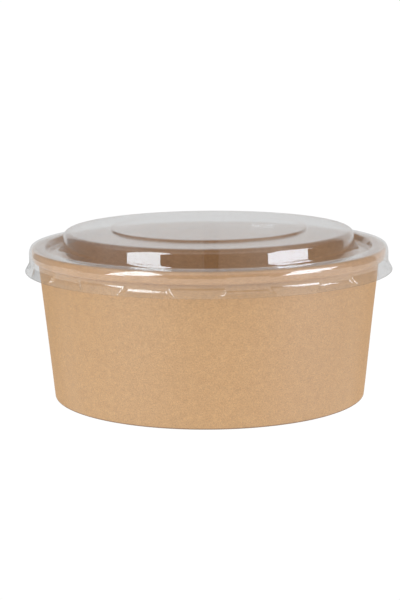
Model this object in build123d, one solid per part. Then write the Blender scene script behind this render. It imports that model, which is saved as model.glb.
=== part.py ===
from build123d import *
import math
import os

# Round paper salad bowl with a clear press-on lid.
#
# Millimetres, +Z up.  The origin is the centre of the ring the bowl stands on.
# Angles round the bowl are measured from the front (-Y) towards the right (+X).
#
# Three real pieces:
#   sidewall   one paperboard blank, wrapped into a cone and glued along a lapped
#              side seam, its top edge rolled outwards into the rim and its bottom
#              edge folded inwards and up round the base's flange
#   base_disc  one paperboard disc, drawn with a downturned flange
#   lid        one thermoformed clear sheet

# ------------------------------------------------------------------ paperboard
board = 0.42             # board thickness
glue_gap = 0.03          # glue line between two layers, seen in section

# ------------------------------------------------------------------ cone wall
r_foot = 66.2            # outer face of the wall, carried down to z = 0
cone_slope = 0.10088     # radius gained for each mm of height (5.76 degrees)
h_bowl = 64.0            # top of the rolled rim

# ------------------------------------------------------------------ folded foot
fold_top = 6.8           # top edge of the folded-in layer
fold_bend = 0.25         # bend of the board's middle at the foot's two corners

# ------------------------------------------------------------------ rolled rim
r_rim = 74.7             # outer radius of the roll
rim_low = 58.8           # underside of the roll
rim_bend_top = 1.06      # bends of the board's middle
rim_bend_low = 0.84
tail_r = 72.68           # the tail stands just outside the wall
tail_top = 61.3

# ------------------------------------------------------------------ side seam
seam_at = 179.0          # degrees from the front: at the back of the bowl
seam_lap = 7.0           # width of the lap
seam_ramp = 5.0          # length over which the outer layer comes back to the cone
seam_low = 1.0           # the lap is crimped flat at the foot...
seam_high = 59.4         # ...and runs up under the roll
groove_depth = 0.34      # step where the inner layer ends

# ------------------------------------------------------------------ base disc
z_base = 8.0             # underside of the disc = depth of the recess
base_bend = 0.75         # bend of the board's middle at its edge
flange_low = 0.62        # lower edge of the flange

# ------------------------------------------------------------------ lid, outer face
sheet = 0.35             # sheet thickness
z_disc = 71.60           # raised middle
r_disc = 41.55
r_disc_foot = 41.95
z_top = 70.68            # flat top
r_top = 61.18            # its edge, before rounding
r_top_foot = 61.95       # foot of the upright wall
z_valley = 61.75         # floor of the ring-shaped valley
r_valley = 68.10         # its outer edge
r_crest = 69.10          # inner edge of the bead's crest
z_crest = 64.45          # crest of the bead that covers the roll
r_shoulder = 75.05       # where the crest turns down into the bead's cheek
r_bead = 75.90           # widest part of the bead
z_cheek = 62.61          # foot of the cheek, before rounding
r_hip = 75.95            # where the skirt starts to flare
z_hip = 57.3
r_skirt = 77.70          # lower edge of the skirt
z_skirt = 54.10

# ------------------------------------------------------------------ lid, snap lugs
lug_count = 12
lug_first = 11.45        # degrees from the front to the first lug's middle
lug_wide = 13.5          # degrees, over its ends
r_neck = 75.22           # a lug's narrowest part, before rounding
z_neck = 55.6
neck_bend = 2.2          # the neck's rounding, outer face
z_shelf = 54.40          # where the lug's shelf meets the flare
z_lug_top = 62.60        # where the lug fades into the bead
lug_end_lean = 1.6       # its ends lie back this much for each mm of depth


# ------------------------------------------------------------------ section tools
def cone(z):
    """Radius of the wall's outer face at height z."""
    return r_foot + cone_slope * z


board_r = board * math.hypot(1.0, cone_slope)   # the board measured along the radius


def rounded(points, radii):
    """Runs and tangent arcs along a corner polyline in the (radius, height) plane.

    Returns ("run", start, end) and ("arc", start, middle, end, centre, radius, turn),
    where turn is +1 to the left of travel and -1 to the right."""
    n = len(points)
    cut, arcs = [0.0] * n, [None] * n
    for i in range(1, n - 1):
        (ax, ay), (bx, by), (cx, cy) = points[i - 1], points[i], points[i + 1]
        la, lc = math.hypot(bx - ax, by - ay), math.hypot(cx - bx, cy - by)
        ux, uy, vx, vy = (bx - ax) / la, (by - ay) / la, (cx - bx) / lc, (cy - by) / lc
        turn = math.atan2(ux * vy - uy * vx, ux * vx + uy * vy)
        radius = radii[i - 1]
        if radius <= 0 or abs(turn) < 1e-6:
            continue
        reach = radius * math.tan(abs(turn) / 2)
        sign = 1 if turn > 0 else -1
        start = (bx - ux * reach, by - uy * reach)
        end = (bx + vx * reach, by + vy * reach)
        centre = (start[0] - sign * uy * radius, start[1] + sign * ux * radius)
        half = math.atan2(start[1] - centre[1], start[0] - centre[0]) + turn / 2
        middle = (centre[0] + radius * math.cos(half), centre[1] + radius * math.sin(half))
        cut[i], arcs[i] = reach, ("arc", start, middle, end, centre, radius, sign)
    pieces = []
    for i in range(n - 1):
        (ax, ay), (bx, by) = points[i], points[i + 1]
        length = math.hypot(bx - ax, by - ay)
        ux, uy = (bx - ax) / length, (by - ay) / length
        left_over = length - cut[i] - cut[i + 1]
        assert left_over > -1e-9, ("bends overlap", i, left_over)
        if left_over > 1e-6:
            pieces.append(
                (
                    "run",
                    (ax + ux * cut[i], ay + uy * cut[i]),
                    (bx - ux * cut[i + 1], by - uy * cut[i + 1]),
                )
            )
        if arcs[i + 1]:
            pieces.append(arcs[i + 1])
    return pieces


def shifted(pieces, d):
    """The same line, moved d to the left of its direction of travel."""
    out = []
    for p in pieces:
        if p[0] == "run":
            (ax, ay), (bx, by) = p[1], p[2]
            length = math.hypot(bx - ax, by - ay)
            nx, ny = -(by - ay) / length * d, (bx - ax) / length * d
            out.append(("run", (ax + nx, ay + ny), (bx + nx, by + ny)))
        else:
            _, a, m, b, c, radius, turn = p
            k = (radius - turn * d) / radius
            assert k > 0.02, ("bend too tight to shift", radius, d)
            a, m, b = ((c[0] + (q[0] - c[0]) * k, c[1] + (q[1] - c[1]) * k) for q in (a, m, b))
            out.append(("arc", a, m, b, c, radius * k, turn))
    return out


def reverse(pieces):
    out = []
    for p in reversed(pieces):
        if p[0] == "run":
            out.append(("run", p[2], p[1]))
        else:
            out.append(("arc", p[3], p[2], p[1], p[4], p[5], -p[6]))
    return out


def start_of(pieces):
    return pieces[0][1]


def end_of(pieces):
    last = pieces[-1]
    return last[2] if last[0] == "run" else last[3]


def section(pieces):
    """A face in the XZ plane from a closed list of runs and arcs."""
    at = lambda q: Vector(q[0], 0, q[1])
    edges = []
    for p in pieces:
        if p[0] == "run":
            edges.append(Edge.make_line(at(p[1]), at(p[2])))
        else:
            edges.append(Edge.make_three_point_arc(at(p[1]), at(p[2]), at(p[3])))
    return Face(Wire(edges))


def strip(pieces, left, right):
    """The section of a sheet whose faces lie left and right of a line."""
    a, b = shifted(pieces, left), reverse(shifted(pieces, -right))
    return section(
        a + [("run", end_of(a), start_of(b))] + b + [("run", end_of(b), start_of(a))]
    )


def ring(face, middle=None, wide=360.0):
    """Revolves a section about Z, all the way or for wide degrees round middle."""
    if middle is None:
        return Solid.revolve(face, 360.0, Axis.Z)
    turned = face.rotate(Axis.Z, middle - 90.0 - wide / 2)
    return Solid.revolve(turned, wide, Axis.Z)


# ------------------------------------------------------------------ sidewall
r_mid = lambda z: cone(z) - board_r / 2                        # middle of the wall
r_fold = lambda z: cone(z) - 2.5 * board_r - 2 * glue_gap      # middle of the folded layer
z_foot, z_roof = board / 2, h_bowl - board / 2
sidewall_line = rounded(
    [
        (r_fold(fold_top), fold_top),
        (r_fold(z_foot), z_foot),
        (r_mid(z_foot), z_foot),
        (r_mid(z_roof), z_roof),
        (r_rim - board / 2, z_roof),
        (r_rim - board / 2, rim_low + board / 2),
        (tail_r, rim_low + board / 2),
        (tail_r, tail_top),
    ],
    [fold_bend, fold_bend, rim_bend_top, rim_bend_top * 0.94, rim_bend_low, rim_bend_low],
)
sidewall = ring(strip(sidewall_line, board / 2, board / 2))

# Lapped side seam.  The outer layer lies on the inner one for seam_lap, then comes
# back to the cone over seam_ramp; inside, the inner layer's edge shows as a step.
deg = lambda length: math.degrees(length / cone(30))
lap_a, lap_b = seam_at - deg(seam_lap) / 2, seam_at + deg(seam_lap) / 2
ramp_end = lap_b + deg(seam_ramp)


def wall_quad(inner, outer, low, high):
    """A wall section between two offsets from the outer face, at heights low to high."""
    return section(
        [
            ("run", (cone(low) + inner, low), (cone(low) + outer, low)),
            ("run", (cone(low) + outer, low), (cone(high) + outer, high)),
            ("run", (cone(high) + outer, high), (cone(high) + inner, high)),
            ("run", (cone(high) + inner, high), (cone(low) + inner, low)),
        ]
    )


def ramp(a, b, inner, thick_a, thick_b, low, high, steps=1):
    """A wall layer from angle a to b whose outer face goes from thick_a to thick_b."""
    out = None
    for k in range(steps):
        s0, s1 = k / steps, (k + 1) / steps
        ease = lambda s: thick_a + (thick_b - thick_a) * s * s * (3 - 2 * s)
        faces = [
            wall_quad(inner, ease(s), low, high).rotate(Axis.Z, a + (b - a) * s - 90.0)
            for s in (s0, s1)
        ]
        piece = Solid.make_loft([f.outer_wire() for f in faces], True)
        out = piece if out is None else out + piece
    return out


lap = ring(
    wall_quad(-board_r / 2, board_r, seam_low, seam_high),
    (lap_a + lap_b) / 2,
    lap_b - lap_a,
)
lap_ramp = ramp(lap_b, ramp_end, -board_r / 2, board_r, 0.01, seam_low, seam_high)
sidewall = sidewall + lap + lap_ramp
# the step inside: a shallow wedge cut from the inner face, deepest at the inner edge
groove = ramp(
    lap_b, ramp_end, -board_r - 1.0, -board_r + groove_depth, -board_r - 0.01, z_base + 1.2, 60.6
)
sidewall = sidewall - groove

# ------------------------------------------------------------------ base disc
z_plate = z_base + board / 2
r_flange = lambda z: cone(z) - 1.5 * board_r - glue_gap
base_line = rounded(
    [(0.0, z_plate), (r_flange(z_plate), z_plate), (r_flange(flange_low), flange_low)],
    [base_bend],
)
base_disc = ring(strip(base_line, board / 2, board / 2))

# ------------------------------------------------------------------ lid
# The outer face runs from the middle outwards and down; the sheet lies to its right.
lid_face = rounded(
    [
        (0.0, z_disc),
        (r_disc, z_disc),
        (r_disc_foot, z_top),
        (r_top, z_top),
        (r_top_foot, z_valley),
        (r_valley, z_valley),
        (r_crest, z_crest),
        (r_shoulder, z_crest),
        (r_bead, z_cheek),
        (r_hip, z_hip),
        (r_skirt, z_skirt),
    ],
    [0.40, 0.2, 2.6, 2.6, 0.8, 0.9, 0.8, 5.0, 2.5],
)
# A lug's own section: from the bead's face down and in to the neck under the roll,
# then round and out over a short steep shelf to the flare.  Both ends run on past the body.
lug_lean = (r_bead - r_neck) / (z_lug_top - z_neck)
flare = (r_skirt - r_hip) / (z_hip - z_skirt)
r_shelf = r_hip + (z_hip - z_shelf) * flare
shelf_lean = (r_shelf - r_neck) / (z_neck - z_shelf)
lug_face = rounded(
    [
        (r_neck + lug_lean * 8.0, z_neck + 8.0),
        (r_neck, z_neck),
        (r_neck + shelf_lean * 2.4, z_neck - 2.4),
    ],
    [neck_bend],
)


def filled(pieces, low):
    """Everything under a line that starts on the axis, down to height low."""
    a, b = start_of(pieces), end_of(pieces)
    side = [("run", b, (b[0], low))] if b[1] - low > 1e-9 else []
    return section(pieces + side + [("run", (b[0], low), (0.0, low)), ("run", (0.0, low), a)])


def lug_pocket(face, wider):
    """What the first lug takes away.  face is its section; its ends lie wider further out."""
    a, b, far = start_of(face), end_of(face), r_skirt + 3.0
    band = ring(
        section(face + [("run", b, (far, b[1])), ("run", (far, b[1]), (far, a[1])), ("run", (far, a[1]), a)]),
        lug_first,
        lug_wide + 8,
    )
    half_bead = r_bead * math.sin(math.radians(lug_wide / 2)) + wider
    half = lambda r: half_bead + (r - r_bead) * lug_end_lean
    near = r_neck - 2.0
    corners = [(-half(far), -far), (-half(near), -near), (half(near), -near), (half(far), -far)]
    low, high = z_skirt, z_neck + 9.0
    plan = Wire(
        [
            Edge.make_line(Vector(*p, low), Vector(*q, low))
            for p, q in zip(corners, corners[1:] + corners[:1])
        ]
    )
    block = Solid.extrude(Face(plan), Vector(0, 0, high - low)).rotate(Axis.Z, lug_first)
    return band & block


def all_lugs(pocket):
    return [pocket.rotate(Axis.Z, k * 360.0 / lug_count) for k in range(lug_count)]


def less(shape, tools):
    """Cuts the tools away one by one, and keeps the one solid that is left."""
    for tool in tools:
        shape = shape - tool
    solids = shape.solids()
    assert len(solids) == 1, len(solids)
    return solids[0]


body = ring(filled(lid_face, z_skirt))
# the hollow's face runs on below the edge, so that the skirt is cut right through
inner_face = shifted(lid_face, -sheet)
edge_low = end_of(inner_face)
inner_face = inner_face[:-1] + [
    ("run", inner_face[-1][1], (edge_low[0] + flare * 1.2, edge_low[1] - 1.2))
]
hollow = ring(filled(inner_face, inner_face[-1][2][1]))
body = less(body, all_lugs(lug_pocket(lug_face, 0.0)))
hollow = less(
    hollow, all_lugs(lug_pocket(shifted(lug_face, -sheet), sheet * math.hypot(1.0, lug_end_lean)))
)
lid = less(body, [hollow])

parts = {"sidewall": sidewall, "base_disc": base_disc, "lid": lid}

if __name__ == "__main__":
    os.makedirs("parts", exist_ok=True)
    for name, shape in parts.items():
        solids = shape.solids() if hasattr(shape, "solids") else [shape]
        print(name, type(shape).__name__, len(solids), "volume", round(shape.volume, 2), shape.bounding_box())
        export_step(shape, f"parts/{name}.step")
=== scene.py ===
import math

import bmesh
import bpy
import numpy as np
from mathutils import Matrix, Vector


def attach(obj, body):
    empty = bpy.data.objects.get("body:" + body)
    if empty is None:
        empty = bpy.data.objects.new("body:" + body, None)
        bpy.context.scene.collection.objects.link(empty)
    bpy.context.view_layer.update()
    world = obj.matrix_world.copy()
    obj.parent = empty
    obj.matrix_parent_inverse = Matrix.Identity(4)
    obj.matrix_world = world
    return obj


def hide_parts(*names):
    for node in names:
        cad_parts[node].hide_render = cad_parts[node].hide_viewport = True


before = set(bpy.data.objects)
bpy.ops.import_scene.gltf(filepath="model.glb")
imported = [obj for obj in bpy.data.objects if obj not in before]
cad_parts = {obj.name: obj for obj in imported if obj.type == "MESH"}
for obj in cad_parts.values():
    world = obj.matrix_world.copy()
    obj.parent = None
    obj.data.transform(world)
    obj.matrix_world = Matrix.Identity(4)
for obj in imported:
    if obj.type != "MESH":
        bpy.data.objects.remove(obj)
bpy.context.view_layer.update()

# Round kraft-board salad bowl with a clear thermoformed lid.
# Everything below is worked out in millimetres, in the frame of the CAD part, and
# turned into metres when a mesh is made.  Angles round the bowl run from the front
# (-Y) towards the right (+X).
MM = 0.001
rng = np.random.default_rng(7)

# ------------------------------------------------------------------ sizes
board = 0.42
glue_gap = 0.03
r_foot, cone_slope, h_bowl = 66.2, 0.10088, 64.0
fold_top, fold_bend = 6.8, 0.25
r_rim, rim_low = 74.7, 58.8
rim_bend_top, rim_bend_low = 1.06, 0.84
tail_r, tail_top = 72.68, 61.3
seam_at, seam_lap, seam_ramp = 179.0, 7.0, 5.0
groove_depth = 0.34
z_base, base_bend, flange_low = 8.0, 0.75, 0.62

sheet = 0.35
z_disc, r_disc, r_disc_foot = 71.60, 41.45, 42.02
z_top, r_top, r_top_foot = 70.68, 61.18, 61.95
z_valley, r_valley, r_crest, z_crest = 61.75, 68.10, 69.10, 64.45
r_shoulder, z_cheek = 75.05, 62.61
r_bead, r_hip, z_hip, r_skirt, z_skirt = 75.90, 75.95, 57.3, 77.70, 54.10
lug_count, lug_first, lug_wide = 12, 11.45, 13.5
r_neck, z_neck, z_shelf, z_lug_top, lug_end_lean = 75.22, 55.6, 54.40, 62.60, 1.6
neck_bend = 2.2


def cone(z):
    return r_foot + cone_slope * z


board_r = board * math.hypot(1.0, cone_slope)


# ------------------------------------------------------------------ section lines
def rounded(points, radii):
    """Runs and tangent arcs along a corner polyline in the (radius, height) plane."""
    n = len(points)
    cut, arcs = [0.0] * n, [None] * n
    for i in range(1, n - 1):
        (ax, ay), (bx, by), (cx, cy) = points[i - 1], points[i], points[i + 1]
        la, lc = math.hypot(bx - ax, by - ay), math.hypot(cx - bx, cy - by)
        ux, uy, vx, vy = (bx - ax) / la, (by - ay) / la, (cx - bx) / lc, (cy - by) / lc
        turn = math.atan2(ux * vy - uy * vx, ux * vx + uy * vy)
        radius = radii[i - 1]
        if radius <= 0 or abs(turn) < 1e-6:
            continue
        reach = radius * math.tan(abs(turn) / 2)
        sign = 1 if turn > 0 else -1
        start = (bx - ux * reach, by - uy * reach)
        centre = (start[0] - sign * uy * radius, start[1] + sign * ux * radius)
        a0 = math.atan2(start[1] - centre[1], start[0] - centre[0])
        cut[i], arcs[i] = reach, ("arc", centre, radius, a0, turn)
    out = []
    for i in range(n - 1):
        (ax, ay), (bx, by) = points[i], points[i + 1]
        length = math.hypot(bx - ax, by - ay)
        ux, uy = (bx - ax) / length, (by - ay) / length
        if length - cut[i] - cut[i + 1] > 1e-6:
            out.append(
                (
                    "run",
                    (ax + ux * cut[i], ay + uy * cut[i]),
                    (bx - ux * cut[i + 1], by - uy * cut[i + 1]),
                )
            )
        if arcs[i + 1]:
            out.append(arcs[i + 1])
    return out


def walk(pieces, step, degrees):
    """Points and left-hand normals along a section line: (r, z, nr, nz) rows."""
    rows = []

    def add(r, z, nr, nz):
        if not rows or math.hypot(rows[-1][0] - r, rows[-1][1] - z) > 1e-4:
            rows.append((r, z, nr, nz))

    for p in pieces:
        if p[0] == "run":
            (ax, ay), (bx, by) = p[1], p[2]
            length = math.hypot(bx - ax, by - ay)
            nr, nz = -(by - ay) / length, (bx - ax) / length
            n = max(1, round(length / (step(ax, ay, bx, by) if callable(step) else step)))
            for k in range(n + 1):
                add(ax + (bx - ax) * k / n, ay + (by - ay) * k / n, nr, nz)
        else:
            _, c, radius, a0, turn = p
            n = max(3, math.ceil(abs(math.degrees(turn)) / degrees))
            for k in range(n + 1):
                a = a0 + turn * k / n
                s = -1 if turn > 0 else 1
                add(
                    c[0] + radius * math.cos(a),
                    c[1] + radius * math.sin(a),
                    s * math.cos(a),
                    s * math.sin(a),
                )
    return np.array(rows)


# ------------------------------------------------------------------ mesh tools
def waves(seed, count, low, high, amount):
    """A smooth field of gentle waves: returns f(angle in radians, height in mm)."""
    g = np.random.default_rng(seed)
    m = g.integers(low, high + 1, count)
    kz = g.uniform(-0.11, 0.11, count)
    ph = g.uniform(0, 2 * math.pi, count)
    am = g.uniform(0.4, 1.0, count) / np.sqrt(count) * amount

    def f(phi, z):
        out = np.zeros(np.broadcast(phi, z).shape)
        for i in range(count):
            out = out + am[i] * np.sin(m[i] * phi + kz[i] * z + ph[i])
        return out

    return f


def sheet_mesh(name, XYZ, index, materials, loop, caps=(), sharp=38.0, normals=None):
    """A mesh of rings of points.  XYZ is (rows, columns, 3) in mm.

    normals gives each point's own direction for shading; strips of material 1 stay flat.
    index gives the material of the strip from each row to the next.  loop joins the last
    row to the first.  caps lists (row, facing up in row order, material) for a ring that
    is closed by one point on the axis."""
    rows, cols = XYZ.shape[:2]
    verts = [tuple(v) for v in (XYZ.reshape(-1, 3) * MM)]
    faces, mats = [], []
    for i in range(rows if loop else rows - 1):
        a, b = i * cols, ((i + 1) % rows) * cols
        for j in range(cols):
            k = (j + 1) % cols
            faces.append((a + j, a + k, b + k, b + j))
            mats.append(int(index[i, j]))
    for row, flip, mat in caps:
        c, a = len(verts), row * cols
        verts.append((0.0, 0.0, float(XYZ[row, :, 2].mean()) * MM))
        for j in range(cols):
            k = (j + 1) % cols
            faces.append((c, a + j, a + k) if flip else (c, a + k, a + j))
            mats.append(mat)
    me = bpy.data.meshes.new(name)
    me.from_pydata(verts, [], faces)
    me.polygons.foreach_set("use_smooth", [True] * len(faces))
    me.polygons.foreach_set("material_index", mats)
    for m in materials:
        me.materials.append(m)
    me.update()
    bm = bmesh.new()
    bm.from_mesh(me)
    bmesh.ops.recalc_face_normals(bm, faces=bm.faces)
    assert all(len(e.link_faces) == 2 for e in bm.edges), name
    if bm.calc_volume(signed=True) < 0:
        bmesh.ops.reverse_faces(bm, faces=bm.faces)
    print(name, "faces", len(bm.faces), "volume mm3", round(bm.calc_volume() * 1e9, 1))
    bm.to_mesh(me)
    bm.free()
    if normals is None:
        me.set_sharp_from_angle(angle=math.radians(sharp))
    else:
        nv = np.zeros((len(me.vertices), 3))
        nv[: rows * cols] = normals.reshape(-1, 3)
        nv[rows * cols :] = [(0, 0, 1) if not flip else (0, 0, -1) for _, flip, _ in caps]
        ln = np.empty((len(me.loops), 3))
        vi = np.empty(len(me.loops), int)
        me.loops.foreach_get("vertex_index", vi)
        ln[:] = nv[vi]
        for p in me.polygons:
            if p.material_index == 1:
                ln[p.loop_start : p.loop_start + p.loop_total] = p.normal
        me.normals_split_custom_set([tuple(v) for v in ln])
    o = bpy.data.objects.new(name, me)
    bpy.context.scene.collection.objects.link(o)
    return o


# ------------------------------------------------------------------ node tools
class Tree:
    def __init__(self, name):
        self.m = bpy.data.materials.new(name)
        self.m.use_nodes = True
        self.t = self.m.node_tree
        self.t.nodes.clear()
        self.out = self.t.nodes.new("ShaderNodeOutputMaterial")

    def node(self, kind, **set_):
        n = self.t.nodes.new("ShaderNode" + kind)
        for k, v in set_.items():
            if k.startswith("_"):
                setattr(n, k[1:], v)
            else:
                n.inputs[k].default_value = v
        return n

    def link(self, a, b):
        self.t.links.new(a, b)

    def math(self, op, a, b=None, c=None, clamp=False):
        n = self.t.nodes.new("ShaderNodeMath")
        n.operation, n.use_clamp = op, clamp
        for i, v in enumerate((a, b, c)):
            if v is None:
                continue
            if isinstance(v, (int, float)):
                n.inputs[i].default_value = v
            else:
                self.link(v, n.inputs[i])
        return n.outputs[0]

    def range(self, v, a, b, c, d, smooth=False):
        n = self.t.nodes.new("ShaderNodeMapRange")
        n.interpolation_type = "SMOOTHSTEP" if smooth else "LINEAR"
        n.clamp = True
        self.link(v, n.inputs["Value"])
        for k, x in zip(("From Min", "From Max", "To Min", "To Max"), (a, b, c, d)):
            n.inputs[k].default_value = x
        return n.outputs["Result"]

    def mix(self, kind, fac, a, b):
        n = self.t.nodes.new("ShaderNodeMix")
        n.data_type, n.blend_type = "RGBA", kind
        for v, s in ((fac, n.inputs[0]), (a, n.inputs[6]), (b, n.inputs[7])):
            if isinstance(v, (int, float)):
                s.default_value = v
            elif isinstance(v, tuple):
                s.default_value = (*v, 1.0) if len(v) == 3 else v
            else:
                self.link(v, s)
        return n.outputs[2]

    def noise(self, vector, scale, detail=2.0, rough=0.5, distortion=0.0, kind="FBM"):
        n = self.t.nodes.new("ShaderNodeTexNoise")
        n.noise_dimensions = "3D"
        n.noise_type = kind
        n.inputs["Scale"].default_value = scale
        n.inputs["Detail"].default_value = detail
        n.inputs["Roughness"].default_value = rough
        n.inputs["Distortion"].default_value = distortion
        self.link(vector, n.inputs["Vector"])
        return n.outputs["Fac"]

    def scaled(self, vector, s, shift=(0, 0, 0)):
        n = self.t.nodes.new("ShaderNodeMapping")
        n.inputs["Scale"].default_value = s
        n.inputs["Location"].default_value = shift
        self.link(vector, n.inputs["Vector"])
        return n.outputs[0]


def srgb(r, g, b):
    f = lambda c: c / 12.92 if c <= 0.04045 else ((c + 0.055) / 1.055) ** 2.4
    return tuple(f(c / 255.0) for c in (r, g, b))


# ------------------------------------------------------------------ materials
def kraft(name, tone, inside=False, edge=False, flat=False):
    """Brown kraft board: cloudy formation, loose fibres, flecks and a fibrous surface."""
    T = Tree(name)
    tc = T.node("TexCoord")
    mm = T.scaled(tc.outputs["Object"], (1000.0, 1000.0, 1000.0))
    if flat:
        skin = mm
    else:
        # unrolled: along the wall's girth, up the wall, and through the board
        sx = T.node("SeparateXYZ")
        T.link(mm, sx.inputs[0])
        girth = T.math("ARCTAN2", sx.outputs["X"], T.math("MULTIPLY", sx.outputs["Y"], -1.0))
        radius = T.math(
            "SQRT",
            T.math(
                "ADD",
                T.math("MULTIPLY", sx.outputs["X"], sx.outputs["X"]),
                T.math("MULTIPLY", sx.outputs["Y"], sx.outputs["Y"]),
            ),
        )
        cb = T.node("CombineXYZ")
        T.link(T.math("MULTIPLY", girth, 71.0), cb.inputs["X"])
        T.link(sx.outputs["Z"], cb.inputs["Y"])
        T.link(radius, cb.inputs["Z"])
        skin = cb.outputs[0]
    cloud = T.noise(T.scaled(skin, (1, 1, 1), (3, 7, 1)), 0.085, 3.0, 0.55)
    form = T.noise(T.scaled(skin, (0.8, 1.0, 0.9), (11, 2, 5)), 0.42, 3.0, 0.6, 0.6)
    grain = T.noise(skin, 1.7, 3.0, 0.7, 0.3)
    fine = T.noise(skin, 4.6, 2.0, 0.65)

    def fibres(turn, seed, thin=5.2, long_=0.42):
        n = T.t.nodes.new("ShaderNodeMapping")
        n.inputs["Rotation"].default_value = (0, 0, math.radians(turn))
        n.inputs["Location"].default_value = seed
        T.link(skin, n.inputs["Vector"])
        bent = T.scaled(n.outputs[0], (long_, thin, 0.6))
        v = T.noise(bent, 1.0, 2.0, 0.5, 0.9)
        return T.range(T.math("ABSOLUTE", T.math("SUBTRACT", v, 0.5)), 0.0, 0.035, 1.0, 0.0, True)

    f1 = fibres(8, (3, 1, 4))
    f2 = fibres(-37, (8, 9, 2), 4.6, 0.5)
    f3 = fibres(52, (5, 5, 7), 5.6, 0.55)
    web = T.math("MAXIMUM", f1, T.math("MAXIMUM", T.math("MULTIPLY", f2, 0.8), T.math("MULTIPLY", f3, 0.7)))
    # sparse dark shives and pale fibres
    place = T.noise(T.scaled(skin, (1, 1, 1), (21, 3, 9)), 0.9, 1.0, 0.5)
    shive = T.math("MULTIPLY", fibres(21, (1, 17, 3), 6.5, 0.8), T.range(place, 0.60, 0.68, 0.0, 1.0, True))
    pale = T.math("MULTIPLY", fibres(-14, (13, 4, 8), 6.0, 0.7), T.range(place, 0.40, 0.33, 0.0, 1.0, True))

    dark, mid, light = tone
    base = T.mix("MIX", T.range(form, 0.32, 0.68, 0.0, 1.0), dark, light)
    base = T.mix("MIX", T.range(cloud, 0.3, 0.7, 0.15, 0.75), base, mid)
    k = T.math(
        "ADD",
        T.range(grain, 0.25, 0.75, 0.76, 1.24),
        T.range(fine, 0.25, 0.75, -0.30, 0.30),
    )
    k = T.math("SUBTRACT", k, T.math("MULTIPLY", web, 0.030))
    k = T.math("SUBTRACT", k, T.math("MULTIPLY", shive, 0.16))
    k = T.math("ADD", k, T.math("MULTIPLY", pale, 0.07))
    col = T.mix("MULTIPLY", 1.0, base, (1, 1, 1))
    hs = T.node("HueSaturation")
    T.link(base, hs.inputs["Color"])
    T.link(k, hs.inputs["Value"])
    hs.inputs["Saturation"].default_value = 1.0
    T.t.nodes.remove(col.node)

    skin_color = hs.outputs[0]
    if inside and not flat:
        # the lap of the side seam is sealed flat and darker
        seam_x = 68.0 * math.sin(math.radians(179.0))
        away = T.math("ABSOLUTE", T.math("SUBTRACT", sx.outputs["X"], seam_x))
        on_lap = T.math(
            "MULTIPLY", T.range(away, 3.2, 3.7, 1.0, 0.0, True), T.range(sx.outputs["Y"], 10.0, 12.0, 0.0, 1.0)
        )
        skin_color = T.mix("MULTIPLY", on_lap, skin_color, (0.85, 0.75, 0.55))
    if not (inside or flat or edge):
        # painted contact shade: the outside is darkened over its lowest 0.75 mm, where the foot meets the floor
        skin_color = T.mix("MULTIPLY", T.range(sx.outputs["Z"], 0.25, 0.75, 1.0, 0.0, True), skin_color, (0.42, 0.38, 0.36))

    height = T.math(
        "ADD",
        T.math("MULTIPLY", grain, 0.55),
        T.math("ADD", T.math("MULTIPLY", fine, 0.35), T.math("MULTIPLY", web, 0.35 if not inside else 0.12)),
    )
    bump = T.node("Bump", Strength=0.22 if inside else (0.9 if edge else 0.5), Distance=0.00003)
    T.link(height, bump.inputs["Height"])
    # fibres standing up make the board dull where the view skims along it
    skim = T.node("LayerWeight", Blend=0.5)
    rough = T.math(
        "ADD", T.range(grain, 0.3, 0.7, 0.42, 0.56), T.range(skim.outputs["Facing"], 0.5, 0.85, 0.0, 0.42, True)
    )
    b = T.node("BsdfPrincipled")
    T.link(skin_color, b.inputs["Base Color"])
    T.link(rough, b.inputs["Roughness"])
    T.link(bump.outputs[0], b.inputs["Normal"])
    b.inputs["IOR"].default_value = 1.46
    if inside:
        b.inputs["Coat Weight"].default_value = 0.5
        b.inputs["Coat Roughness"].default_value = 0.28
        b.inputs["Coat IOR"].default_value = 1.5
    else:
        b.inputs["IOR"].default_value = 1.52
        b.inputs["Specular IOR Level"].default_value = 1.0
        b.inputs["Sheen Weight"].default_value = 0.02
        b.inputs["Sheen Roughness"].default_value = 0.5
    T.link(b.outputs[0], T.out.inputs["Surface"])
    return T.m


TONE = ((0.403, 0.207, 0.0735), (0.441, 0.234, 0.0865), (0.482, 0.262, 0.1020))
IN_TONE = ((0.475, 0.255, 0.116), (0.515, 0.285, 0.134), (0.558, 0.316, 0.154))
EDGE_TONE = ((0.42, 0.27, 0.16), (0.50, 0.34, 0.21), (0.58, 0.41, 0.27))
kraft_outside = kraft("kraft_outside", TONE)
kraft_inside = kraft("kraft_inside", IN_TONE, inside=True)
kraft_edge = kraft("kraft_edge", EDGE_TONE, edge=True)
kraft_floor = kraft("kraft_floor", IN_TONE, inside=True, flat=True)
kraft_under = kraft("kraft_under", TONE, flat=True)


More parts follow.
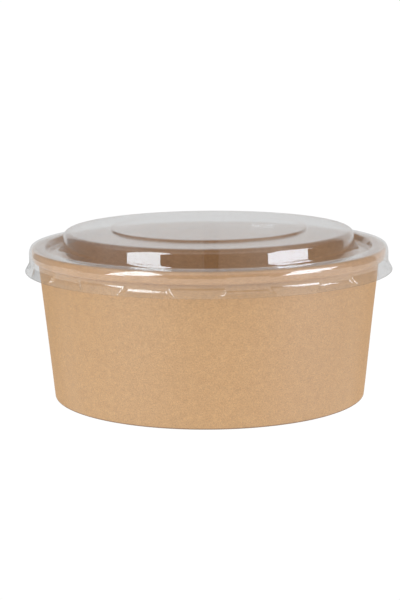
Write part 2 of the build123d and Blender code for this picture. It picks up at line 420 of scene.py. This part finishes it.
def clear(name, tint, f0, cut=False):
    """Clear thermoformed sheet: it lets light through, and its two faces reflect."""
    T = Tree(name)
    tc = T.node("TexCoord")
    mm = T.scaled(tc.outputs["Object"], (1000.0, 1000.0, 1000.0))
    sag = T.noise(mm, 0.045, 2.0, 0.5)
    draw = T.noise(T.scaled(mm, (1, 1, 0.25)), 0.35, 2.0, 0.55)
    peel = T.noise(mm, 2.2, 1.0, 0.5)
    height = T.math(
        "ADD",
        T.math("MULTIPLY", sag, 1.0),
        T.math("ADD", T.math("MULTIPLY", draw, 0.10), T.math("MULTIPLY", peel, 0.010)),
    )
    bump = T.node("Bump", Strength=0.25 if not cut else 0.8, Distance=0.0002)
    T.link(height, bump.inputs["Height"])
    lw = T.node("LayerWeight", Blend=0.5)
    T.link(bump.outputs[0], lw.inputs["Normal"])
    face = lw.outputs["Facing"]
    p2 = T.math("MULTIPLY", face, face)
    p5 = T.math("MULTIPLY", T.math("MULTIPLY", p2, p2), face)
    fac = T.math("MULTIPLY_ADD", p5, 1.0 - f0, f0)
    clear_ = T.node("BsdfTransparent")
    haze = T.range(sag, 0.3, 0.7, 0.0, 1.0)
    T.link(T.mix("MIX", haze, tint[0], tint[1]), clear_.inputs["Color"])
    gloss = T.node("BsdfGlossy")
    gloss.distribution = "GGX"
    gloss.inputs["Color"].default_value = (1, 1, 1, 1)
    # the drawn outer side is a little less glassy than the flat top
    sx = T.node("SeparateXYZ")
    T.link(mm, sx.inputs[0])
    radius = T.math(
        "SQRT",
        T.math(
            "ADD",
            T.math("MULTIPLY", sx.outputs["X"], sx.outputs["X"]),
            T.math("MULTIPLY", sx.outputs["Y"], sx.outputs["Y"]),
        ),
    )
    drawn = T.math(
        "MULTIPLY",
        T.range(radius, 73.8, 74.8, 0.0, 1.0, True),
        T.range(T.math("MULTIPLY", sx.outputs["Z"], -1.0), -59.0, -57.0, 0.07, 0.15, True),
    )
    T.link(T.math("ADD", T.range(draw, 0.3, 0.7, 0.012, 0.035), drawn), gloss.inputs["Roughness"])
    T.link(bump.outputs[0], gloss.inputs["Normal"])
    # the sheet scatters a little light, more where the view skims along it
    veil = T.math("MULTIPLY_ADD", T.math("MULTIPLY", p2, face), HAZE_EDGE, HAZE_FACE)
    veil = T.math("MULTIPLY", veil, T.range(draw, 0.3, 0.7, 0.8, 1.2))
    both_ = T.t.nodes.new("ShaderNodeMixShader")
    scatter = T.node("BsdfDiffuse", Roughness=0.6)
    through = T.node("BsdfTranslucent")
    scatter.inputs["Color"].default_value = through.inputs["Color"].default_value = (0.95, 0.96, 0.97, 1)
    both_.inputs[0].default_value = 0.5
    T.link(scatter.outputs[0], both_.inputs[1])
    T.link(through.outputs[0], both_.inputs[2])
    dim = T.t.nodes.new("ShaderNodeMixShader")
    T.link(veil, dim.inputs[0])
    T.link(clear_.outputs[0], dim.inputs[1])
    T.link(both_.outputs[0], dim.inputs[2])
    mix = T.t.nodes.new("ShaderNodeMixShader")
    T.link(fac, mix.inputs[0])
    T.link(dim.outputs[0], mix.inputs[1])
    T.link(gloss.outputs[0], mix.inputs[2])
    T.link(mix.outputs[0], T.out.inputs["Surface"])
    return T.m


HAZE_FACE, HAZE_EDGE = 0.004, 0.075
sheet_clear = clear("sheet_clear", ((0.985, 0.985, 0.985), (0.97, 0.972, 0.972)), 0.045)
sheet_cut = clear("sheet_cut", ((0.60, 0.61, 0.61), (0.50, 0.51, 0.51)), 0.08, cut=True)


# ------------------------------------------------------------------ sidewall
EDGE = 0.012                                    # half-width in degrees of a radial step
deg = lambda length: math.degrees(length / cone(30))
lap_a, lap_b = seam_at - deg(seam_lap) / 2, seam_at + deg(seam_lap) / 2
ramp_end = lap_b + deg(seam_ramp)


def wall_columns():
    start = ramp_end + 0.6
    plain = np.linspace(start, lap_a - 0.5 + 360.0, 400)
    lap = [lap_a + 360 - EDGE, lap_a + 360 + EDGE]
    lap += list(np.linspace(lap_a + 0.6, lap_b - 0.6, 6) + 360.0)
    lap += [lap_b + 360 - EDGE, lap_b + 360 + EDGE]
    lap += list(np.linspace(lap_b + 0.5, ramp_end, 8) + 360.0)
    return np.radians(np.concatenate([plain, lap]) - 360.0)


def ease(x):
    x = np.clip(x, 0.0, 1.0)
    return x * x * (3 - 2 * x)


wall_phi = wall_columns()
wall_deg = np.degrees(wall_phi) % 360.0
r_mid = lambda z: cone(z) - board_r / 2
r_fold = lambda z: cone(z) - 2.5 * board_r - 2 * glue_gap
z_foot, z_roof = board / 2, h_bowl - board / 2
wall_line = rounded(
    [
        (r_fold(fold_top), fold_top),
        (r_fold(z_foot), z_foot),
        (r_mid(z_foot), z_foot),
        (r_mid(z_roof), z_roof),
        (r_rim - board / 2, z_roof),
        (r_rim - board / 2, rim_low + board / 2),
        (tail_r, rim_low + board / 2),
        (tail_r, tail_top),
    ],
    [fold_bend, fold_bend, rim_bend_top, rim_bend_top * 0.94, rim_bend_low, rim_bend_low],
)
mid = walk(wall_line, lambda ax, ay, bx, by: 2.2 if math.hypot(bx - ax, by - ay) > 20 else 0.9, 13)
h = board / 2
inner = mid[:, :2] + mid[:, 2:] * h             # the bowl's inside, and the roll's inside
outer = mid[:, :2] - mid[:, 2:] * h
loop = np.concatenate([inner, outer[::-1]])
n_in = len(inner)
rows_r, rows_z = loop[:, 0], loop[:, 1]
R = np.repeat(rows_r[:, None], wall_phi.size, 1)
Z = np.repeat(rows_z[:, None], wall_phi.size, 1)

# which rows are the wall proper, where the board's own unevenness shows
on_wall = (np.abs(rows_r - cone(rows_z)) < board_r * 1.6) & (rows_z > 0.5) & (rows_z < 62.0)
on_wall &= np.concatenate([np.arange(n_in), np.arange(n_in)[::-1]]) > int(
    np.argmin(np.hypot(mid[:, 0] - r_mid(z_foot), mid[:, 1] - z_foot))
)
fade = ease((rows_z - 1.5) / 7.0) * ease((61.0 - rows_z) / 8.0) * on_wall
uneven = waves(3, 14, 2, 17, 0.055)
R = R + uneven(wall_phi[None, :], Z) * fade[:, None]

# the lapped seam: the outer layer's cut edge, its lap, and the way back to the cone
lap_out = np.where(
    (wall_deg > lap_a) & (wall_deg <= lap_b),
    1.0,
    np.where(
        (wall_deg > lap_b) & (wall_deg < ramp_end), 1.0 - ease((wall_deg - lap_b) / (ramp_end - lap_b)), 0.0
    ),
)
lap_in = np.where(
    (wall_deg > lap_b) & (wall_deg < ramp_end), 1.0 - ease((wall_deg - lap_b) / (ramp_end - lap_b)), 0.0
)
is_out = np.arange(len(loop)) >= n_in
z_out = np.where(is_out, ease((rows_z - 1.0) / 1.4), 0.0) * on_wall * (rows_z < 60.0)
z_in = np.where(~is_out, ease((rows_z - 9.2) / 1.0) * ease((60.6 - rows_z) / 1.0), 0.0) * on_wall
R = R + board_r * z_out[:, None] * lap_out[None, :] + groove_depth * z_in[:, None] * lap_in[None, :]

# materials by row: inside and outside faces, and the two cut edges
OUT_, IN_, CUT_ = 0, 1, 2
z_turn = int(np.argmin(np.hypot(mid[:, 0] - r_mid(z_foot), mid[:, 1] - z_foot)))
strip_mat = []
n = len(loop)
for i in range(n):
    j = (i + 1) % n
    if i == n_in - 1 or i == n - 1:
        strip_mat.append(CUT_)
    elif i < n_in:
        strip_mat.append(IN_)
    else:
        strip_mat.append(OUT_)
index = np.repeat(np.array(strip_mat)[:, None], wall_phi.size, 1)
for name_, edge_deg, rows_ in (("out", lap_a, z_out), ("in", lap_b, z_in)):
    j = int(np.argmin(np.abs(wall_deg - (edge_deg - EDGE))))
    hit = (rows_ > 0.5)
    index[hit, j] = CUT_
XYZ = np.stack([R * np.sin(wall_phi), -R * np.cos(wall_phi), Z], -1)
sidewall = sheet_mesh(
    "sidewall_board", XYZ, index, (kraft_outside, kraft_inside, kraft_edge), loop=True
)

# ------------------------------------------------------------------ base disc
z_plate = z_base + board / 2
r_flange = lambda z: cone(z) - 1.5 * board_r - glue_gap
base_line = rounded(
    [(0.0, z_plate), (r_flange(z_plate), z_plate), (r_flange(flange_low), flange_low)], [base_bend]
)
mid = walk(base_line, lambda ax, ay, bx, by: 2.6 if abs(by - ay) < 1 else 1.2, 11)[1:]
top_, low_ = mid[:, :2] + mid[:, 2:] * h, mid[:, :2] - mid[:, 2:] * h
loop = np.concatenate([top_, low_[::-1]])
base_phi = np.radians(np.linspace(0, 360, 288, endpoint=False))
R = np.repeat(loop[:, 0][:, None], base_phi.size, 1)
Z = np.repeat(loop[:, 1][:, None], base_phi.size, 1)
# a shallow dish: the middle of the disc sags a little and is not quite even
sag_ = waves(11, 9, 1, 6, 0.05)
flat_rows = (np.abs(loop[:, 1] - z_plate) < 0.3) & (loop[:, 0] < 62)
middle = np.clip(1 - (R / 62.0) ** 2, 0, 1) * flat_rows[:, None]
Z = Z + middle * (-0.30 + sag_(base_phi[None, :], R))
index = np.zeros((len(loop), base_phi.size), int)
index[len(top_) :, :] = 1
index[len(top_) - 1, :] = 2
XYZ = np.stack([R * np.sin(base_phi), -R * np.cos(base_phi), Z], -1)
base_disc = sheet_mesh(
    "base_board", XYZ, index, (kraft_floor, kraft_under, kraft_edge), loop=False,
    caps=((0, False, 0), (len(loop) - 1, True, 1)),
)

# ------------------------------------------------------------------ lid
lid_line = rounded(
    [
        (0.0, z_disc),
        (r_disc, z_disc),
        (r_disc_foot, z_top),
        (r_top, z_top),
        (r_top_foot, z_valley),
        (r_valley, z_valley),
        (r_crest, z_crest - 0.13),              # the crest is slightly domed
        ((r_crest + r_shoulder) / 2, z_crest + 0.06),
        (r_shoulder, z_crest - 0.13),
        (r_bead, z_cheek),
        (r_hip, z_hip),
        (r_skirt, z_skirt),
    ],
    [0.40, 0.2, 2.6, 2.6, 0.8, 0.8, 32.0, 0.8, 5.0, 2.5],
)


def lid_step(ax, ay, bx, by):
    if bx < 42:
        return 6.0
    if ay > 70 and by > 70:
        return 3.0
    if ax > 75:
        return 0.42
    return 1.5


face = walk(lid_line, lid_step, 9)[1:]
flare = (r_skirt - r_hip) / (z_hip - z_skirt)
lug_lean = (r_bead - r_neck) / (z_lug_top - z_neck)
r_shelf = r_hip + (z_hip - z_shelf) * flare
shelf_lean = (r_shelf - r_neck) / (z_neck - z_shelf)
half_bead = r_bead * math.sin(math.radians(lug_wide / 2))

one = np.concatenate(
    [
        np.linspace(-5.6, 5.6, 9)[:-1],
        np.linspace(5.6, 9.4, 13)[:-1],
        np.linspace(9.4, 20.6, 8)[:-1],
        np.linspace(20.6, 24.4, 13)[:-1],
    ]
)
lid_deg = np.concatenate([lug_first + k * 360.0 / lug_count + one for k in range(lug_count)])
lid_phi = np.radians(lid_deg)
smax = lambda a, b, k: 0.5 * (a + b + np.sqrt((a - b) ** 2 + k * k))
smin = lambda a, b, k: 0.5 * (a + b - np.sqrt((a - b) ** 2 + k * k))

fr, fz = face[:, 0], face[:, 1]
off = (lid_deg - lug_first + 15.0) % 30.0 - 15.0
u = np.abs(np.radians(off)) * r_bead
lug_line = rounded(
    [
        (r_neck + lug_lean * 9.0, z_neck + 9.0),
        (r_neck, z_neck),
        (r_neck + shelf_lean * 2.4, z_neck - 2.4),
    ],
    [neck_bend],
)
lug_rows = walk(lug_line, 1.0, 4)[::-1]
r_lug = np.interp(fz, lug_rows[:, 1], lug_rows[:, 0])
r_end = r_bead + (u - half_bead) / lug_end_lean
pocket = smax(r_lug[:, None], r_end[None, :], 0.10)
R = np.repeat(fr[:, None], lid_phi.size, 1)
Z = np.repeat(fz[:, None], lid_phi.size, 1)
lower = (fr > 74.0) & (fz < z_crest - 0.4)
R = np.where(lower[:, None], smin(R, pocket, 0.08), R)
O = np.stack([R * np.sin(lid_phi), -R * np.cos(lid_phi), Z], -1)
# the sheet's other face, one thickness in along the surface's own normal
tr = np.gradient(R, axis=0)
tz = np.gradient(Z, axis=0)
# section normals are exact where there is no lug, and come from the grid elsewhere
nr = np.repeat(face[:, 2][:, None], lid_phi.size, 1)
nz = np.repeat(face[:, 3][:, None], lid_phi.size, 1)
ln = np.hypot(tr, tz)
gr, gz = -tz / ln, tr / ln
w = np.clip(np.abs(R - fr[:, None]) / 0.02, 0, 1)
nr, nz = nr * (1 - w) + gr * w, nz * (1 - w) + gz * w
dphi = np.gradient(np.concatenate([lid_phi[-1:] - 2 * math.pi, lid_phi, lid_phi[:1] + 2 * math.pi]))[1:-1]
Rw = np.concatenate([R[:, -1:], R, R[:, :1]], 1)
dR = (Rw[:, 2:] - Rw[:, :-2]) / (2 * dphi[None, :])
nt = -dR / R * nr
nn = np.sqrt(nr**2 + nz**2 + nt**2)
nr, nz, nt = nr / nn, nz / nn, nt / nn
er = np.stack([np.sin(lid_phi), -np.cos(lid_phi), 0 * lid_phi], -1)[None]
et = np.stack([np.cos(lid_phi), np.sin(lid_phi), 0 * lid_phi], -1)[None]
N = nr[..., None] * er + nt[..., None] * et + nz[..., None] * np.array([0, 0, 1.0])
I = O - N * sheet
# the skirt is cut off level
last = I[-1].copy()
step_ = I[-1] - I[-2]
I[-1] = last + step_ * ((z_skirt - last[:, 2]) / step_[:, 2])[:, None]
XYZ = np.concatenate([O, I[::-1]])
NRM = np.concatenate([N, -N[::-1]])
index = np.zeros(XYZ.shape[:2], int)
index[len(O) - 1, :] = 1
lid = sheet_mesh(
    "lid_sheet", XYZ, index, (sheet_clear, sheet_cut), loop=False,
    caps=((0, False, 0), (len(XYZ) - 1, True, 0)), normals=NRM,
)

for piece, node, body, slot_ in (
    (sidewall, "sidewall", "bowl", "kraft_board"),
    (base_disc, "base_disc", "bowl", "kraft_board"),
    (lid, "lid", "lid", "clear_sheet"),
):
    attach(piece, body)
    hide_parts(node)


# ------------------------------------------------------------------ floor, light and camera
def emitter(name, color, strength):
    m = bpy.data.materials.new(name)
    m.use_nodes = True
    t = m.node_tree
    t.nodes.clear()
    e, o = t.nodes.new("ShaderNodeEmission"), t.nodes.new("ShaderNodeOutputMaterial")
    e.inputs["Color"].default_value = (*color, 1)
    e.inputs["Strength"].default_value = strength
    t.links.new(e.outputs[0], o.inputs["Surface"])
    return m


def card(name, corners, mat):
    me = bpy.data.meshes.new(name)
    me.from_pydata([tuple(c) for c in corners], [], [tuple(range(len(corners)))])
    me.materials.append(mat)
    o = bpy.data.objects.new(name, me)
    bpy.context.scene.collection.objects.link(o)
    return o


def seen_direct(t):
    """1 where the camera looks straight at it, 0 in reflections and through the lid."""
    lp = t.nodes.new("ShaderNodeLightPath")
    first = t.nodes.new("ShaderNodeMath")
    first.operation = "LESS_THAN"
    t.links.new(lp.outputs["Transparent Depth"], first.inputs[0])
    first.inputs[1].default_value = 0.5
    both = t.nodes.new("ShaderNodeMath")
    both.operation = "MULTIPLY"
    t.links.new(lp.outputs["Is Camera Ray"], both.inputs[0])
    t.links.new(first.outputs[0], both.inputs[1])
    return both.outputs[0]


# levels of the room: the floor, the two soft boxes, and zones of the studio round them
FLOOR, FLOOR_BACK, SOFT_LEFT, SOFT_RIGHT = 1.05, 0.66, 7.1, 7.6
FRONT, SIDE_LEFT, SIDE_RIGHT, BACK = 0.12, 0.23, 0.16, 0.70
HIGH_FRONT, HIGH_BACK, TOP = 0.76, 0.36, 0.36
floor_mat = emitter("floor_white", (1, 1, 1), 1.0)
t = floor_mat.node_tree
pale = t.nodes.new("ShaderNodeMapRange")
t.links.new(seen_direct(t), pale.inputs["Value"])
pale.inputs["To Max"].default_value = 1.02
# the floor falls off behind the bowl
place = t.nodes.new("ShaderNodeTexCoord")
axes = t.nodes.new("ShaderNodeSeparateXYZ")
t.links.new(place.outputs["Object"], axes.inputs[0])
fall = t.nodes.new("ShaderNodeMapRange")
fall.interpolation_type = "SMOOTHSTEP"
t.links.new(axes.outputs["Y"], fall.inputs["Value"])
for k, x in zip(("From Min", "From Max", "To Min", "To Max"), (-0.02, 0.16, FLOOR, FLOOR_BACK)):
    fall.inputs[k].default_value = x
t.links.new(fall.outputs["Result"], pale.inputs["To Min"])
t.links.new(pale.outputs[0], t.nodes["Emission"].inputs["Strength"])
ang = np.linspace(0, 2 * math.pi, 96, endpoint=False)
floor = card("floor", [(0.6 * math.cos(a), 0.6 * math.sin(a), -0.0003) for a in ang], floor_mat)


def softbox(name, corners, dist, strength, tint=(1, 1, 1)):
    """A card whose corners are (azimuth, elevation) as seen from the lid, in order."""
    def at(az, el):
        a = math.radians(az)
        return (dist * math.sin(a), -dist * math.cos(a), 0.066 + dist * math.tan(math.radians(el)))

    o = card(name, [at(*c) for c in corners], emitter(name, tint, strength))
    o.visible_camera = False
    o.visible_shadow = False
    return o


softbox(
    "softbox_left",
    [(-64.9, -3), (-36.3, -3), (-36.3, 2), (-28.5, 22), (-35.4, 34.5), (-43.6, 40), (-52, 37.6), (-57.2, 26.6), (-60.7, 12.9)],
    1.5,
    SOFT_LEFT,
    (0.92, 1.04, 1.13),
)
softbox(
    "softbox_right",
    [(45.3, -3), (80.9, -3), (80.6, 4), (88.6, 13.4), (78, 19.3), (68.8, 22.8), (57.7, 26.5), (49.4, 8.6), (45.3, 1)],
    1.5,
    SOFT_RIGHT,
    (0.885, 0.99, 1.115),
)

world = bpy.data.worlds.new("studio")
bpy.context.scene.world = world
world.use_nodes = True
t = world.node_tree
t.nodes.clear()
tc = t.nodes.new("ShaderNodeTexCoord")
sx = t.nodes.new("ShaderNodeSeparateXYZ")
t.links.new(tc.outputs["Generated"], sx.inputs[0])


def wmath(op, a, b=None, clamp=False):
    n = t.nodes.new("ShaderNodeMath")
    n.operation, n.use_clamp = op, clamp
    for i, v in enumerate((a, b)):
        if v is None:
            continue
        if isinstance(v, (int, float)):
            n.inputs[i].default_value = v
        else:
            t.links.new(v, n.inputs[i])
    return n.outputs[0]


def wrange(v, a, b, c, d):
    n = t.nodes.new("ShaderNodeMapRange")
    n.interpolation_type = "SMOOTHSTEP"
    t.links.new(v, n.inputs["Value"])
    for k, x in zip(("From Min", "From Max", "To Min", "To Max"), (a, b, c, d)):
        n.inputs[k].default_value = x
    return n.outputs["Result"]


X, Y, Z = sx.outputs
flat_ = wmath("MAXIMUM", wmath("SQRT", wmath("SUBTRACT", 1.0, wmath("MULTIPLY", Z, Z))), 0.05)
east, north = wmath("DIVIDE", X, flat_), wmath("DIVIDE", Y, flat_)
side = wrange(east, -0.3, 0.3, SIDE_LEFT, SIDE_RIGHT)
fill = wrange(north, -0.45, 0.05, 1.0, 0.0)
low = wmath("ADD", wmath("MULTIPLY", fill, FRONT), wmath("MULTIPLY", wmath("SUBTRACT", 1.0, fill), side))
# the backdrop stands a little to the right of straight behind
behind = wmath("ADD", wmath("MULTIPLY", north, math.cos(math.radians(8.5))), wmath("MULTIPLY", east, math.sin(math.radians(8.5))))
drop = wrange(behind, 0.74, 0.78, 0.0, 1.0)
low = wmath("ADD", wmath("MULTIPLY", wmath("SUBTRACT", 1.0, drop), low), wmath("MULTIPLY", drop, BACK))
high = wrange(north, -0.2, 0.6, HIGH_FRONT, HIGH_BACK)
up = wrange(Z, 0.36, 0.52, 0.0, 1.0)
level = wmath("ADD", wmath("MULTIPLY", low, wmath("SUBTRACT", 1.0, up)), wmath("MULTIPLY", high, up))
over = wrange(Z, 0.80, 0.92, 0.0, 1.0)
level = wmath("ADD", wmath("MULTIPLY", level, wmath("SUBTRACT", 1.0, over)), wmath("MULTIPLY", over, TOP))
level = wmath("MAXIMUM", level, wmath("MULTIPLY", seen_direct(t), 1.02))
bg = t.nodes.new("ShaderNodeBackground")
bg.inputs["Color"].default_value = (1, 1, 1, 1)
t.links.new(level, bg.inputs["Strength"])
wo = t.nodes.new("ShaderNodeOutputWorld")
t.links.new(bg.outputs[0], wo.inputs["Surface"])

camera = bpy.data.cameras.new("camera")
camera.sensor_width = 36.0
camera.sensor_fit = "AUTO"
camera.lens = 1636.7 * 36.0 / 600.0
camera.shift_x = (200.0 - 209.11) / 600.0
camera.shift_y = (310.84 - 300.0) / 600.0
camera.clip_start, camera.clip_end = 0.01, 50.0
cam = bpy.data.objects.new("camera", camera)
bpy.context.scene.collection.objects.link(cam)
pitch, roll, dist = math.radians(10.69), math.radians(-0.42), 0.700
fwd = Vector((0, math.cos(pitch), -math.sin(pitch)))
right = Vector((1, 0, 0))
upv = right.cross(fwd)
r3 = right * math.cos(roll) + upv * math.sin(roll)
u3 = upv * math.cos(roll) - right * math.sin(roll)
m = Matrix.Identity(4)
for i in range(3):
    m[i][0], m[i][1], m[i][2] = r3[i], u3[i], -fwd[i]
m.translation = Vector((0, -dist * math.cos(pitch), 0.035 + dist * math.sin(pitch)))
cam.matrix_world = m
scene = bpy.context.scene
scene.camera = cam
scene.view_settings.view_transform = "Standard"
scene.view_settings.look = "None"
scene.cycles.transparent_max_bounces = 32
scene.cycles.max_bounces = 12
scene.cycles.diffuse_bounces = 6
scene.cycles.glossy_bounces = 8
